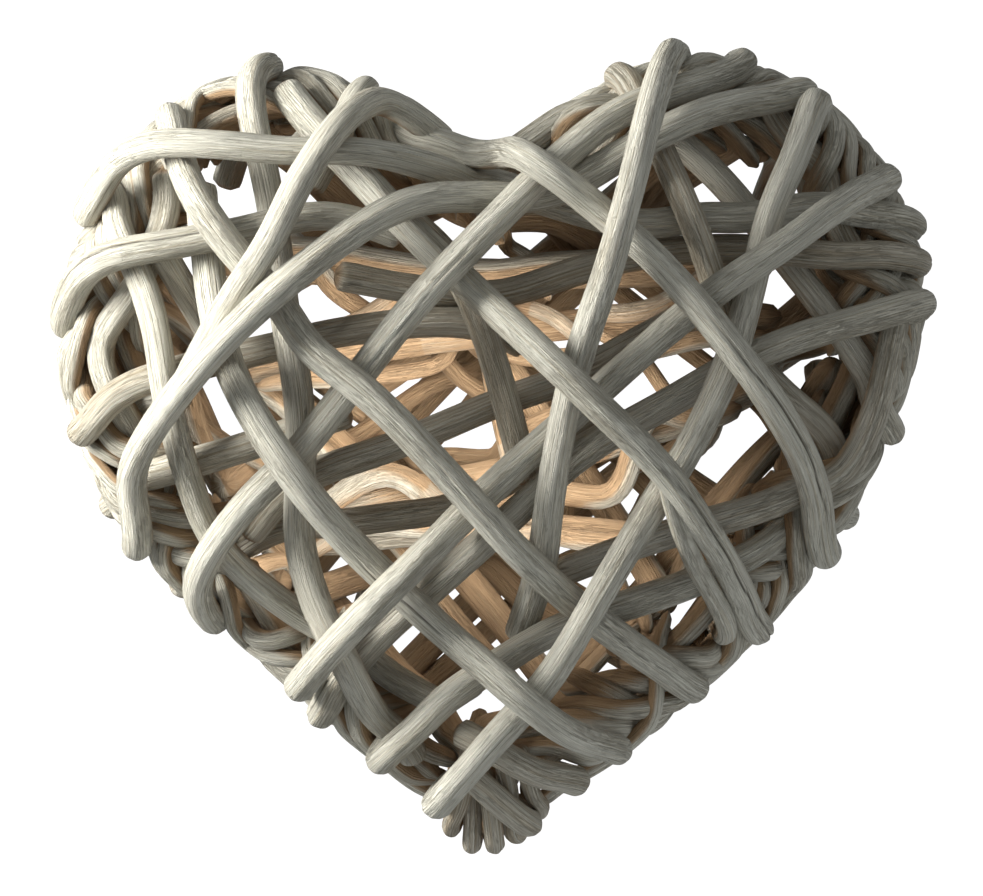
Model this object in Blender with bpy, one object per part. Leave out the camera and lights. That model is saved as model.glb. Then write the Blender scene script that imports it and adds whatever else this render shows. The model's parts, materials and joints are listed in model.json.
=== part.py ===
"""A hollow, puffed heart woven from whitewashed willow rods, lying on its back.

The front faces +Z, the lobes point to +Y and the tip to -Y. The design is in millimetres
and is turned into metres where the rods are made.
"""
import math

import bpy
import numpy as np

MM = 0.001

# Outline of the heart through the middle of the woven layer, at the rim
LOBE_X = 43.0
LOBE_Y = 35.5
LOBE_RADIUS = 49.0
JOIN_ANGLE = math.radians(24.0)
TIP_Y = -83.0
NOTCH_SOFTNESS = 10.0

# Depth of the woven layer in front of the rim and behind it, and how boxy each side is
FRONT_DEPTH = 35.0
FRONT_POWER = 2.3
BACK_DEPTH = 32.0
BACK_POWER = 2.7
FLOOR_DEPTH = 36.0
SHOULDER = 0.975
RIM_ZONE = 0.72
FRONT_RIM_LIFT = 0.0
BACK_RIM_LIFT = -4.0
INNER_TAIL_LAYER = -8.0

GAP = 0.4

# A rod's stretch past the rim: how far it slides on along the rim, or doubles back under itself where
# that is negative, and the least that it turns inward
TAIL_LENGTH = 27.0
TAIL_STEP = 9.0
TAIL_SLIDE = -0.7
TAIL_INWARD = 0.5

# Facets along a rod
PATH_PER_SPAN = 12
LONGEST_SEGMENT = 30.0
BEND_PER_SEGMENT = math.radians(38.0)
BEND_BLUR = 9

# Half the length of a line that surely crosses the heart, and the steps on that half
CHORD_REACH = 140.0
CHORD_STEPS = 280

# How the rods settle: rounds with and without the pull back to their layers, rounds between two
# searches for neighbours, and how far away a neighbour may be
SETTLE_ROUNDS = 260
SEPARATE_ROUNDS = 300
SEARCH_EVERY = 40
NEIGHBOUR_REACH = 13.0

# Pull to the layer and to the plan, stiffness while settling and while parting, how far pushes lean
# towards the heart's depth, the least sine between two rods that counts as a crossing, the share of
# their width within which they lie on each other anyway, the cosine between their outward directions
# under which they are on opposite faces, and the outward rise under which a crossing is on the back
LAYER_PULL = 0.03
SIDE_PULL = 0.08
STIFFNESS = 0.45
PARTING_STIFFNESS = 0.12
DEPTHWISE = 2.5
CROSSING = 0.4
STACKED_WITHIN = 0.3
OTHER_FACE = -0.2
BACK_CROSSING = -0.15

# Each rod: layer height, diameter, how its first and last end finish, and its plan points.
# "wrap" goes round the rim and on across the other side, "tuck" ends in the weave.
FRONT_RODS = {
    "rising_rod_1": (2, 6.6, "wrap", "tuck",
                     [(-18, 77), (-31, 72), (-38, 63), (-44, 53), (-49, 42), (-59, 28), (-69, 12)]),
    "rising_rod_2": (4, 6.8, "wrap", "wrap",
                     [(-76, -24), (-78, -5), (-70, 11), (-59, 27), (-43, 42), (-25, 54), (-14, 58),
                      (9, 58), (17, 61), (31, 68), (38, 71), (51, 75), (67, 77), (77, 75)]),
    "rising_rod_3": (4, 6.8, "wrap", "wrap",
                     [(-64, -39), (-61, -28), (-51, -10), (-43, -2), (-27, 18), (-15, 33), (-5, 43),
                      (12, 59), (22, 68), (32, 74), (43, 79), (56, 84)]),
    "rising_rod_4": (3, 6.8, "wrap", "wrap",
                     [(92, 61), (80, 56), (67, 47), (56, 39), (41, 29), (27, 15), (13, 3), (2, -7),
                      (-9, -18), (-20, -29), (-32, -41), (-40, -52), (-42, -58)]),
    "rising_rod_5": (3, 6.6, "wrap", "wrap",
                     [(72, 82), (65, 62), (60, 50), (56, 33), (54, 23), (50, 15), (41, -5), (35, -13),
                      (23, -33), (11, -54), (4, -60), (-7, -71), (-15, -79)]),
    "rising_rod_6": (0, 6.6, "wrap", "wrap",
                     [(-28, -70), (-16, -61), (-5, -51), (5, -46), (15, -40), (27, -36), (47, -29),
                      (60, -22), (71, -16), (81, -15)]),
    "falling_rod_1": (4, 6.8, "tuck", "wrap",
                      [(-67, 61), (-66, 52), (-65, 41), (-62, 27), (-58, 17), (-49, 2),
                       (-36, -16), (-27, -26), (-19, -34), (-10, -41), (3, -52), (16, -61), (30, -69)]),
    "falling_rod_2": (3, 7.0, "wrap", "wrap",
                      [(-67, 85), (-71, 73), (-69, 64), (-62, 50), (-55, 42), (-46, 31), (-41, 23),
                       (-27, 12), (-14, -1), (-2, -14), (8, -25), (19, -35), (33, -45), (46, -55)]),
    "falling_rod_3": (6, 7.0, "tuck", "wrap",
                      [(-47.5, 81.5), (-43, 76), (-33, 66), (-25, 58), (-14, 46), (-2, 35), (11, 22),
                       (23, 10), (36, -3), (48, -21), (58, -37), (62, -42)]),
    "falling_rod_3_strand": (4, 4.4, "tuck", "wrap",
                             [(33, -8), (42, -21), (51, -36), (56, -45)]),
    "falling_rod_4": (6, 7.0, "tuck", "wrap",
                      [(-18, 74.5), (-12, 69.5), (-5, 66), (1, 63.5), (7, 61), (18, 55), (27, 49), (42, 35),
                       (51, 23), (60, 11), (67, -3), (72, -18), (74, -26)]),
    "upright_rod_1": (6, 6.6, "wrap", "tuck",
                      [(46, 91), (39, 80), (36, 73), (33, 62), (29, 47), (25, 33), (22, 24), (17, 11), (16, 1),
                       (14, -8), (13, -17), (12, -27), (9, -36), (7, -44)]),
    "upright_rod_2": (-1, 6.8, "wrap", "tuck",
                      [(-53, 88), (-54, 78), (-52, 66), (-49, 51), (-47, 35), (-44, 17), (-42, 2),
                       (-43, -16), (-41, -27), (-36, -39), (-30, -48), (-25, -60), (-20, -73)]),
    "upright_rod_3": (-3, 6.4, "tuck", "tuck",
                      [(-20, 54), (-11, 45), (-5, 35), (-1, 24), (3, 11), (6, 1), (8, -8)]),
    "upright_rod_4": (-3, 6.2, "wrap", "tuck",
                      [(27, 88), (31, 82), (34, 75), (38, 66), (43, 55), (46, 46), (49, 36), (54, 22)]),
    "level_rod_1": (-1, 6.6, "wrap", "wrap",
                    [(-93, 55), (-85, 60), (-74, 64), (-62, 65), (-47, 64), (-31, 65), (-20, 64),
                     (-10, 62), (-1, 61), (9, 57), (21, 53), (33, 50), (47, 52), (57, 51), (69, 54),
                     (95, 51)]),
    "level_rod_2": (0, 6.8, "wrap", "tuck",
                    [(-99, 29), (-93, 37), (-83, 42), (-70, 45), (-56, 48), (-46, 50), (-41, 52),
                     (-31, 52), (-20, 48)]),
    "level_rod_3": (-5, 6.4, "tuck", "wrap",
                    [(-37, 39), (-20, 36), (-9, 35), (4, 35), (15, 39), (23, 41), (33, 44),
                     (47, 45), (57, 45), (73, 43), (95, 43)]),
    "level_rod_4": (-2, 6.8, "wrap", "tuck",
                    [(-94, 4), (-91, 9), (-79, 15), (-64, 20), (-47, 24), (-37, 26), (-21, 29),
                     (-11, 29), (-1, 28), (10, 22)]),
    "level_rod_5": (-3, 6.6, "wrap", "tuck",
                    [(-86, -8), (-77, -5), (-65, -2), (-54, 1), (-44, 4), (-32, 8)]),
    "level_rod_6": (-4, 6.6, "tuck", "tuck",
                    [(-57, -22), (-48, -11), (-39, -6), (-29, -2), (-21, 0), (-13, 4), (-1, 9), (7, 12),
                     (14, 14), (25, 20), (34, 24), (40, 27), (50, 34), (62, 43)]),
    "level_rod_7": (-5, 6.4, "wrap", "tuck",
                    [(-73, -30), (-54, -20), (-43, -16), (-33, -17), (-20, -15), (-7, -13), (4, -7),
                     (16, 0), (28, 6)]),
    "level_rod_8": (-3, 6.6, "wrap", "wrap",
                    [(99, 36), (91, 34), (75, 28), (57, 22), (47, 15), (32, 7), (21, 0), (12, -8),
                     (2, -17), (-7, -25), (-16, -34), (-26, -42), (-33, -51), (-36, -62)]),
    "right_rod_1": (-2, 6.4, "wrap", "wrap",
                    [(4, 70), (8, 74), (15, 77), (24, 78), (33, 76), (39, 73), (44, 69), (51, 62),
                     (58, 55), (67, 43), (75, 32), (80, 25), (83, 19), (91, 9)]),
    "right_rod_2": (-3, 6.2, "wrap", "wrap",
                    [(66, 84), (72, 71), (78, 61), (81, 50), (85, 42), (88, 35), (91, 24), (95, 14)]),
    "right_rod_3": (2, 6.4, "tuck", "tuck",
                    [(15, -29), (33, -22), (44, -18), (57, -14), (65, -11), (75, -5), (79, 2), (84, 12),
                     (87, 22), (90, 31)]),
    "right_rod_4": (-4, 6.4, "tuck", "wrap",
                    [(42, 37), (54, 25), (60, 19), (66, 12), (75, 4), (82, -3), (87, -8)]),
    "left_rod_1": (-1, 6.4, "wrap", "tuck",
                   [(-90, 64), (-86, 54), (-81, 43), (-76, 33), (-74, 24), (-72, 13), (-69, 1),
                    (-65, -12), (-61, -21), (-55, -28), (-48, -34), (-40, -42), (-32, -49), (-22, -54),
                    (-12, -58)]),
    "left_rod_2": (-4, 6.4, "tuck", "tuck",
                   [(-73, 64), (-73, 57), (-76, 48), (-80, 39), (-84, 32), (-89, 25), (-91, 16),
                    (-91, 9), (-87, 2), (-80, -5), (-70, -11)]),
    "left_rod_3": (-1, 6.2, "tuck", "tuck",
                   [(-76, 47), (-71, 38), (-67, 30), (-63, 22), (-58, 13)]),
    "left_rod_4": (-4, 6.2, "tuck", "tuck",
                   [(-88, 4), (-80, 8), (-70, 11)]),
    "top_rod_1": (-1, 6.2, "wrap", "tuck",
                  [(-27, 83), (-31, 76), (-36, 67), (-42, 57)]),
    "tip_rod_1": (0, 6.4, "tuck", "wrap",
                  [(-8, -64), (0, -67), (9, -71), (21, -75)]),
    "tip_rod_2": (0, 6.2, "tuck", "wrap",
                  [(-6, -69), (-1, -73), (5, -78), (12, -83)]),
}
TIP_STRANDS = 5
TIP_STRAND_DIAMETER = 4.2
TIP_STRAND_LENGTH = 20.0
TIP_RIM_LIFT = 5.0
TIP_FAN_CENTRE = (-4.0, -52.0)
TIP_FAN_REACH = 30.0
TIP_FAN_START = math.radians(-98.0)
TIP_FAN_STEP = math.radians(8.0)

# Rods that run inside the rim: the half that each one is in, -1 for the left, and its height
RIM_RODS = [(-1, 5), (-1, -7), (1, 6), (1, -6)]
RIM_ROD_POINTS = 40
RIM_ROD_DIAMETER = 5.0
RIM_LAYER = -8.0
RIM_ROD_START = math.radians(72.0)
RIM_ROD_END = math.radians(-84.0)

# Rods of the back: roughly parallel courses, each with its direction in degrees, whether its rods
# wrap round the rim, the layers that they take in turn, and how far each one lies to the left of
# the middle and bows to that side
BACK_COURSES = [
    (38, True, (2, -5), [(54, 7), (33, -5), (13, 6), (-8, -6), (-30, 8), (-50, -4)]),
    (-44, True, (-1.5, -8.5), [(-51, -6), (-32, 7), (-12, -7), (9, 5), (30, -8), (49, 5)]),
    (6, False, (-12,), [(44, -4), (20, 6), (-3, -5), (-26, 7)]),
]
BACK_FAN = math.radians(7.0)
BACK_ROD_DIAMETER = 6.6
BACK_STOPS = (0.08, 0.2, 0.35, 0.5, 0.65, 0.8, 0.92)
INNER_TAIL_LENGTH = 9.0

# Which front rods each rod passes over, where the two cross on the front
OVER = {
    "rising_rod_1": "level_rod_1 level_rod_2 falling_rod_3 falling_rod_2 upright_rod_2 top_rod_1"
                    " falling_rod_1 falling_rod_4 level_rod_4 left_rod_1 left_rod_3",
    "rising_rod_2": "rising_rod_1 falling_rod_1 falling_rod_2 falling_rod_3 level_rod_2 level_rod_3"
                    " level_rod_1 level_rod_4 left_rod_1 left_rod_3 left_rod_4 level_rod_5 right_rod_1 left_rod_2",
    "rising_rod_3": "falling_rod_3 level_rod_3 level_rod_4 level_rod_5 level_rod_6 level_rod_7"
                    " upright_rod_2 left_rod_1 level_rod_1 rising_rod_2",
    "rising_rod_4": "rising_rod_5 falling_rod_1 left_rod_1 upright_rod_2 right_rod_1 right_rod_2"
                    " level_rod_8 level_rod_7 upright_rod_3 level_rod_1 upright_rod_4 level_rod_6",
    "rising_rod_5": "falling_rod_2 rising_rod_6 right_rod_1 rising_rod_2 rising_rod_3 level_rod_8"
                    " right_rod_3 level_rod_3 level_rod_1 tip_rod_1 tip_rod_2",
    "rising_rod_6": "upright_rod_2 left_rod_1 upright_rod_1",
    "falling_rod_1": "rising_rod_3 rising_rod_5 rising_rod_6 upright_rod_2 level_rod_5 level_rod_7",
    "falling_rod_2": "falling_rod_1 level_rod_2 rising_rod_3 rising_rod_4 level_rod_6 level_rod_7 level_rod_8"
                     " upright_rod_1 level_rod_4",
    "falling_rod_3": "upright_rod_1 rising_rod_4 rising_rod_5 rising_rod_6 upright_rod_3 level_rod_4"
                     " level_rod_8 level_rod_6 right_rod_3 level_rod_3",
    "falling_rod_4": "level_rod_1 rising_rod_2 rising_rod_3 rising_rod_4 rising_rod_5 level_rod_8"
                     " level_rod_6 right_rod_4 right_rod_3 upright_rod_4 level_rod_3",
    "upright_rod_1": "falling_rod_4 rising_rod_2 rising_rod_3 rising_rod_4 level_rod_3 level_rod_1"
                     " right_rod_1 level_rod_8 level_rod_6 level_rod_7",
    "upright_rod_2": "level_rod_4 left_rod_1 level_rod_7 falling_rod_3",
    "upright_rod_3": "level_rod_6 level_rod_4",
    "upright_rod_4": "level_rod_1 level_rod_3 right_rod_1",
    "level_rod_1": "falling_rod_2 upright_rod_2 left_rod_1 left_rod_2 falling_rod_1 left_rod_3 falling_rod_3",
    "level_rod_2": "upright_rod_2 left_rod_1 left_rod_2 falling_rod_1 left_rod_3",
    "level_rod_3": "right_rod_1 right_rod_2 right_rod_4",
    "level_rod_4": "left_rod_3",
    "level_rod_6": "right_rod_1 right_rod_4",
    "level_rod_8": "right_rod_1 right_rod_2 right_rod_3 upright_rod_3 upright_rod_4 left_rod_1",
    "right_rod_3": "right_rod_1 right_rod_4",
    "left_rod_1": "level_rod_4 level_rod_5 left_rod_4",
}


def outline_radius(angle):
    """Distance from the middle of the heart to the outline, in the direction of each angle."""
    x = np.cos(angle)
    y = np.sin(angle)
    reach = []
    for side in (-1.0, 1.0):
        along = side * LOBE_X * x + LOBE_Y * y
        inside = along ** 2 - LOBE_X ** 2 - LOBE_Y ** 2 + LOBE_RADIUS ** 2
        reach.append(np.where(inside > 0, along + np.sqrt(np.maximum(inside, 0)), 0.0))
    lobes = sum(np.maximum(part, 0) ** NOTCH_SOFTNESS for part in reach) ** (1 / NOTCH_SOFTNESS)

    # The flank is one long arc, tangent to the lobe and ending at the tip
    join = (LOBE_X + LOBE_RADIUS * math.cos(JOIN_ANGLE), LOBE_Y - LOBE_RADIUS * math.sin(JOIN_ANGLE))
    aim = (math.cos(JOIN_ANGLE), -math.sin(JOIN_ANGLE))
    from_tip = (join[0], join[1] - TIP_Y)
    flank_radius = (from_tip[0] ** 2 + from_tip[1] ** 2) / (2 * (from_tip[0] * aim[0] + from_tip[1] * aim[1]))
    centre = (join[0] - flank_radius * aim[0], join[1] - flank_radius * aim[1])
    along = centre[0] * np.abs(x) + centre[1] * y
    inside = along ** 2 - centre[0] ** 2 - centre[1] ** 2 + flank_radius ** 2
    flank = along + np.sqrt(np.maximum(inside, 0))
    below = y < join[1] / math.hypot(*join)
    return np.where(below, flank, lobes)


def fullness(points, lift):
    """One on the woven surface raised by lift, less inside it and more outside."""
    flat = np.hypot(points[:, 0], points[:, 1])
    flat = flat / (outline_radius(np.arctan2(points[:, 1], points[:, 0])) + lift)
    front = points[:, 2] > 0
    power = np.where(front, FRONT_POWER, BACK_POWER)
    depth = np.where(front, FRONT_DEPTH, BACK_DEPTH) + lift
    return (flat ** power + (np.abs(points[:, 2]) / depth) ** power) ** (1 / power)


def surface_normals(points, lift):
    step = 0.5
    slope = np.zeros_like(points)
    for axis in range(3):
        shift = np.zeros(3)
        shift[axis] = step
        slope[:, axis] = fullness(points + shift, lift) - fullness(points - shift, lift)
    return slope / np.linalg.norm(slope, axis=1)[:, None]


def on_side(plan, layer, side, rim_lift):
    """The plan point put on the front (side 1) or the back (side -1) of the woven surface."""
    outline = outline_radius(math.atan2(plan[1], plan[0]))
    near_rim = min(max((math.hypot(*plan) / outline - RIM_ZONE) / (1 - RIM_ZONE), 0.0), 1.0)
    lift = layer + (rim_lift - layer) * near_rim ** 2 * (3 - 2 * near_rim)
    flat = math.hypot(*plan) / (outline + lift)
    if flat > SHOULDER:
        plan = np.array(plan) * SHOULDER / flat
        flat = SHOULDER
    power = FRONT_POWER if side > 0 else BACK_POWER
    depth = (FRONT_DEPTH if side > 0 else BACK_DEPTH) + lift
    return np.array([plan[0], plan[1], side * depth * (1 - flat ** power) ** (1 / power)])


def at_rim(plan, rim_lift):
    radius = outline_radius(math.atan2(plan[1], plan[0])) + rim_lift
    scale = radius / math.hypot(*plan)
    return np.array([plan[0] * scale, plan[1] * scale, 0.0])


def tail_points(rim, before, layer, side, length, rim_lift):
    """Points past the rim, where a rod carries on across the heart's other side."""
    outward = surface_normals(rim[None, :], rim_lift)[0][:2]
    outward = outward / np.linalg.norm(outward)
    heading = rim[:2] - before[:2]
    heading = heading / np.linalg.norm(heading)
    leaving = heading.dot(outward)
    heading = TAIL_SLIDE * (heading - leaving * outward) - max(leaving, TAIL_INWARD) * outward
    heading = heading / np.linalg.norm(heading)
    stops = [TAIL_STEP * (k + 1) for k in range(int(length // TAIL_STEP))]
    return [on_side(rim[:2] + heading * stop, layer, side, rim_lift) for stop in stops]


def smooth_path(points):
    """A centripetal Catmull-Rom curve through the points."""
    points = np.array(points, float)
    ends = np.vstack([2 * points[0] - points[1], points, 2 * points[-1] - points[-2]])
    path = []
    for p0, p1, p2, p3 in zip(ends, ends[1:], ends[2:], ends[3:]):
        t1 = math.sqrt(np.linalg.norm(p1 - p0))
        t2 = t1 + math.sqrt(np.linalg.norm(p2 - p1))
        t3 = t2 + math.sqrt(np.linalg.norm(p3 - p2))
        t = np.linspace(t1, t2, PATH_PER_SPAN, endpoint=False)[:, None]
        a1 = (t1 - t) / t1 * p0 + t / t1 * p1
        a2 = (t2 - t) / (t2 - t1) * p1 + (t - t1) / (t2 - t1) * p2
        a3 = (t3 - t) / (t3 - t2) * p2 + (t - t2) / (t3 - t2) * p3
        b1 = (t2 - t) / t2 * a1 + t / t2 * a2
        b2 = (t3 - t) / (t3 - t1) * a2 + (t - t1) / (t3 - t1) * a3
        path.append((t2 - t) / (t2 - t1) * b1 + (t - t1) / (t2 - t1) * b2)
    path.append(points[-1:])
    return np.vstack(path)


def spaced_guide(points):
    """Points along the rod's way over the surface, closer together where it bends."""
    path = smooth_path(points)
    steps = np.diff(path, axis=0)
    lengths = np.linalg.norm(steps, axis=1)
    directions = steps / lengths[:, None]
    turns = np.arccos(np.clip((directions[1:] * directions[:-1]).sum(1), -1, 1))
    load = lengths / LONGEST_SEGMENT
    load[1:] += turns / 2 / BEND_PER_SEGMENT
    load[:-1] += turns / 2 / BEND_PER_SEGMENT
    load = np.convolve(load, np.ones(BEND_BLUR) / BEND_BLUR, mode="same")
    reached = np.concatenate([[0], np.cumsum(load)])
    count = max(2, math.ceil(reached[-1]))
    wanted = np.linspace(0, reached[-1], count + 1)
    return np.stack([np.interp(wanted, reached, path[:, k]) for k in range(3)], axis=1)


def front_guide(layer, first, last, plan, rim_lift):
    points = [on_side(p, layer, 1, rim_lift) for p in plan]
    if first == "wrap":
        rim = at_rim(plan[0], rim_lift)
        before = np.array(plan[1], float)
        tail = tail_points(rim, before, rim_lift, -1, TAIL_LENGTH, rim_lift)
        points = tail[::-1] + [rim] + points[1:]
    if last == "wrap":
        rim = at_rim(plan[-1], rim_lift)
        before = np.array(plan[-2], float)
        tail = tail_points(rim, before, rim_lift, -1, TAIL_LENGTH, rim_lift)
        points = points[:-1] + [rim] + tail
    return spaced_guide(points)


def chord(direction, aside):
    """The two ends, inside the outline, of the line that passes aside of the heart's middle."""
    way = np.array([math.cos(direction), math.sin(direction)])
    side = np.array([-way[1], way[0]])
    along = np.linspace(-CHORD_REACH, CHORD_REACH, 2 * CHORD_STEPS + 1)
    places = side * aside + along[:, None] * way
    spare = outline_radius(np.arctan2(places[:, 1], places[:, 0])) - np.hypot(places[:, 0], places[:, 1])
    outside = np.flatnonzero(spare < 0)
    first = outside[outside < CHORD_STEPS].max() + 1
    last = outside[outside > CHORD_STEPS].min() - 1
    return places[first], places[last]


def back_guide(layer, direction, aside, bow, wraps):
    """A back rod: a bow across the back whose two ends may wrap round the rim and dive inside."""
    start, end = chord(direction, aside)
    way = end - start
    side = np.array([-way[1], way[0]]) / np.linalg.norm(way)
    plan = [start + t * way + 4 * t * (1 - t) * bow * side for t in BACK_STOPS]
    points = [on_side(p, layer, -1, BACK_RIM_LIFT if wraps else layer) for p in plan]
    if not wraps:
        return spaced_guide(points)
    first = at_rim(start, BACK_RIM_LIFT)
    last = at_rim(end, BACK_RIM_LIFT)
    before = tail_points(first, plan[0], INNER_TAIL_LAYER, 1, INNER_TAIL_LENGTH, BACK_RIM_LIFT)[::-1]
    after = tail_points(last, plan[-1], INNER_TAIL_LAYER, 1, INNER_TAIL_LENGTH, BACK_RIM_LIFT)
    return spaced_guide(before + [first] + points + [last] + after)


def rim_guide(side, height):
    """A rod that runs lengthwise inside the rim of one half, from near the notch to near the tip."""
    turn = np.linspace(RIM_ROD_START, RIM_ROD_END, RIM_ROD_POINTS)
    radius = outline_radius(turn) + RIM_LAYER
    level = np.full(RIM_ROD_POINTS, height)
    return spaced_guide(np.stack([side * radius * np.cos(turn), radius * np.sin(turn), level], axis=1))


def lay_out_rods():
    """Name, diameter, layer and guide of every rod, before they press on each other."""
    rods = []
    for name, (layer, diameter, first, last, plan) in FRONT_RODS.items():
        rods.append((name, diameter, layer, front_guide(layer, first, last, plan, FRONT_RIM_LIFT)))
    for k in range(TIP_STRANDS):
        angle = TIP_FAN_START + k * TIP_FAN_STEP
        heading = np.array([math.cos(angle), math.sin(angle)])
        rim = at_rim(np.array(TIP_FAN_CENTRE) + TIP_FAN_REACH * heading, TIP_RIM_LIFT)[:2]
        plan = [rim - heading * TIP_STRAND_LENGTH, rim - heading * TIP_STRAND_LENGTH / 2, rim]
        guide = front_guide(-1, "tuck", "wrap", plan, TIP_RIM_LIFT)
        rods.append((f"tip_strand_{k + 1}", TIP_STRAND_DIAMETER, -1, guide))
    for k, (side, height) in enumerate(RIM_RODS):
        rods.append((f"rim_rod_{k + 1}", RIM_ROD_DIAMETER, RIM_LAYER, rim_guide(side, height)))
    for course, (angle, wraps, layers, places) in enumerate(BACK_COURSES):
        for k, (aside, bow) in enumerate(places):
            layer = layers[k % len(layers)]
            direction = math.radians(angle) + BACK_FAN * (k % 3 - 1)
            name = f"back_rod_{course + 1}_{k + 1}"
            rods.append((name, BACK_ROD_DIAMETER, layer, back_guide(layer, direction, aside, bow, wraps)))
    return rods


def stacking(rods):
    """For every two rods, 1 where the first lies over the second and -1 where it lies under."""
    names = [rod[0] for rod in rods]
    by_layer = np.zeros((len(rods), len(rods)))
    for a, rod_a in enumerate(rods):
        for b, rod_b in enumerate(rods):
            rank_a = (not rod_a[0].startswith("back"), rod_a[2], -a)
            rank_b = (not rod_b[0].startswith("back"), rod_b[2], -b)
            by_layer[a, b] = 1 if rank_a > rank_b else -1
    on_front = by_layer.copy()
    for upper, lowers in OVER.items():
        for lower in lowers.split():
            on_front[names.index(upper), names.index(lower)] = 1
            on_front[names.index(lower), names.index(upper)] = -1
    return on_front, by_layer


def closest_on_segments(p, p_way, q, q_way):
    """Where along each pair of segments they come closest, as two numbers from 0 to 1."""
    between = p - q
    pp = (p_way ** 2).sum(1)
    qq = (q_way ** 2).sum(1)
    pq = (p_way * q_way).sum(1)
    pb = (p_way * between).sum(1)
    qb = (q_way * between).sum(1)
    spread = pp * qq - pq ** 2
    s = np.clip((pq * qb - qq * pb) / np.maximum(spread, 1e-9), 0, 1)
    t = np.clip((pq * s + qb) / qq, 0, 1)
    s = np.clip((pq * t - pb) / pp, 0, 1)
    return s, t


def neighbours(place, owner, start):
    """Pairs of segments, of two different rods, that may touch, each named by its first point."""
    middle = (place[start] + place[start + 1]) / 2
    reach = np.linalg.norm(place[start + 1] - place[start], axis=1) / 2
    apart = np.linalg.norm(middle[:, None] - middle[None], axis=2) - reach[:, None] - reach[None]
    close = (apart < NEIGHBOUR_REACH) & (owner[start][:, None] < owner[start][None])
    first, second = np.nonzero(close)
    return start[first], start[second]


def parting_pushes(place, pair_a, pair_b, outward, same_face, rank, wanted):
    """For each pair, the push that parts it, the two touching places and the distance now."""
    way_a = place[pair_a + 1] - place[pair_a]
    way_b = place[pair_b + 1] - place[pair_b]
    s, t = closest_on_segments(place[pair_a], way_a, place[pair_b], way_b)
    between = place[pair_a] + s[:, None] * way_a - place[pair_b] - t[:, None] * way_b
    height = (between * outward).sum(1)
    beside = np.linalg.norm(between - height[:, None] * outward, axis=1)
    sine = np.linalg.norm(np.cross(way_a, way_b), axis=1)
    sine /= np.linalg.norm(way_a, axis=1) * np.linalg.norm(way_b, axis=1)

    # Rods that cross part outward, in the order of the weave, and rods side by side part sideways
    crossing = same_face & ((sine > CROSSING) | (beside < STACKED_WITHIN * wanted))
    lack = np.sqrt(np.maximum(wanted ** 2 - beside ** 2, 0)) - rank * height
    stacked = crossing & (beside < wanted) & (lack > 0)
    distance = np.maximum(np.linalg.norm(between, axis=1), 1e-6)
    abreast = ~crossing & (distance < wanted)
    push = np.where(stacked[:, None], (rank * lack)[:, None] * outward, 0)
    push += np.where(abreast[:, None], between * (wanted / distance - 1)[:, None], 0)
    return push, s, t, distance


def shared_moves(count, pair_a, pair_b, push, s, t):
    """The move of every point that its pushes ask for, shared between the ends of each segment."""
    moves = np.zeros((count, 3))
    weight = np.zeros(count)
    active = np.abs(push).sum(1) > 0
    norm = (1 - s) ** 2 + s ** 2 + (1 - t) ** 2 + t ** 2
    shares = [(pair_a, 1 - s, 1), (pair_a + 1, s, 1), (pair_b, 1 - t, -1), (pair_b + 1, t, -1)]
    for index, amount, sign in shares:
        part = push * (sign * amount / norm)[:, None]
        np.add.at(moves, index[active], part[active])
        np.add.at(weight, index[active], amount[active])
    return moves / np.maximum(weight, 1.0)[:, None]


def settle(rods):
    """Press the rods together: each keeps its place in the weave and none cuts into another."""
    guides = np.vstack([rod[3] for rod in rods])
    owner = np.concatenate([np.full(len(rod[3]), k) for k, rod in enumerate(rods)])
    radius = np.array([rod[1] / 2 for rod in rods])
    normals = np.vstack([surface_normals(rod[3], rod[2]) for rod in rods]) * (1, 1, DEPTHWISE)
    normals /= np.linalg.norm(normals, axis=1)[:, None]
    on_front, on_back = stacking(rods)
    start = np.flatnonzero(owner[1:] == owner[:-1])
    inner = np.flatnonzero((owner[2:] == owner[1:-1]) & (owner[1:-1] == owner[:-2])) + 1
    floor = -FLOOR_DEPTH + radius[owner]
    offset = np.zeros_like(guides)

    for turn in range(SETTLE_ROUNDS + SEPARATE_ROUNDS):
        place = guides + offset
        if turn % SEARCH_EVERY == 0:
            pair_a, pair_b = neighbours(place, owner, start)
            same_face = (normals[pair_a] * normals[pair_b]).sum(1) > OTHER_FACE
            outward = normals[pair_a] + normals[pair_a + 1] + normals[pair_b] + normals[pair_b + 1]
            outward /= np.maximum(np.linalg.norm(outward, axis=1), 1e-6)[:, None]
            rods_a = owner[pair_a]
            rods_b = owner[pair_b]
            rank = np.where(outward[:, 2] > BACK_CROSSING, on_front[rods_a, rods_b], on_back[rods_a, rods_b])
            wanted = radius[rods_a] + radius[rods_b] + GAP
        push, s, t, distance = parting_pushes(place, pair_a, pair_b, outward, same_face, rank, wanted)
        offset = offset + shared_moves(len(guides), pair_a, pair_b, push, s, t)
        if turn < SETTLE_ROUNDS:
            stiffness = STIFFNESS
            high = (offset * normals).sum(1)[:, None] * normals
            offset = high * (1 - LAYER_PULL) + (offset - high) * (1 - SIDE_PULL)
        else:
            stiffness = PARTING_STIFFNESS * max(0.0, 1 - 2 * (turn - SETTLE_ROUNDS) / SEPARATE_ROUNDS)
        offset[inner] += stiffness * ((offset[inner - 1] + offset[inner + 1]) / 2 - offset[inner])
        offset[:, 2] += np.maximum(floor - (guides + offset)[:, 2], 0)
    ends = np.cumsum([len(rod[3]) for rod in rods])[:-1]
    return np.split(guides + offset, ends), distance - wanted + GAP


def willow_material():
    material = bpy.data.materials.new("whitewashed_willow")
    material.use_nodes = True
    shader = material.node_tree.nodes["Principled BSDF"]
    shader.inputs["Base Color"].default_value = (0.72, 0.69, 0.61, 1.0)
    shader.inputs["Roughness"].default_value = 0.75
    shader.inputs["Metallic"].default_value = 0.0
    return material


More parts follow.
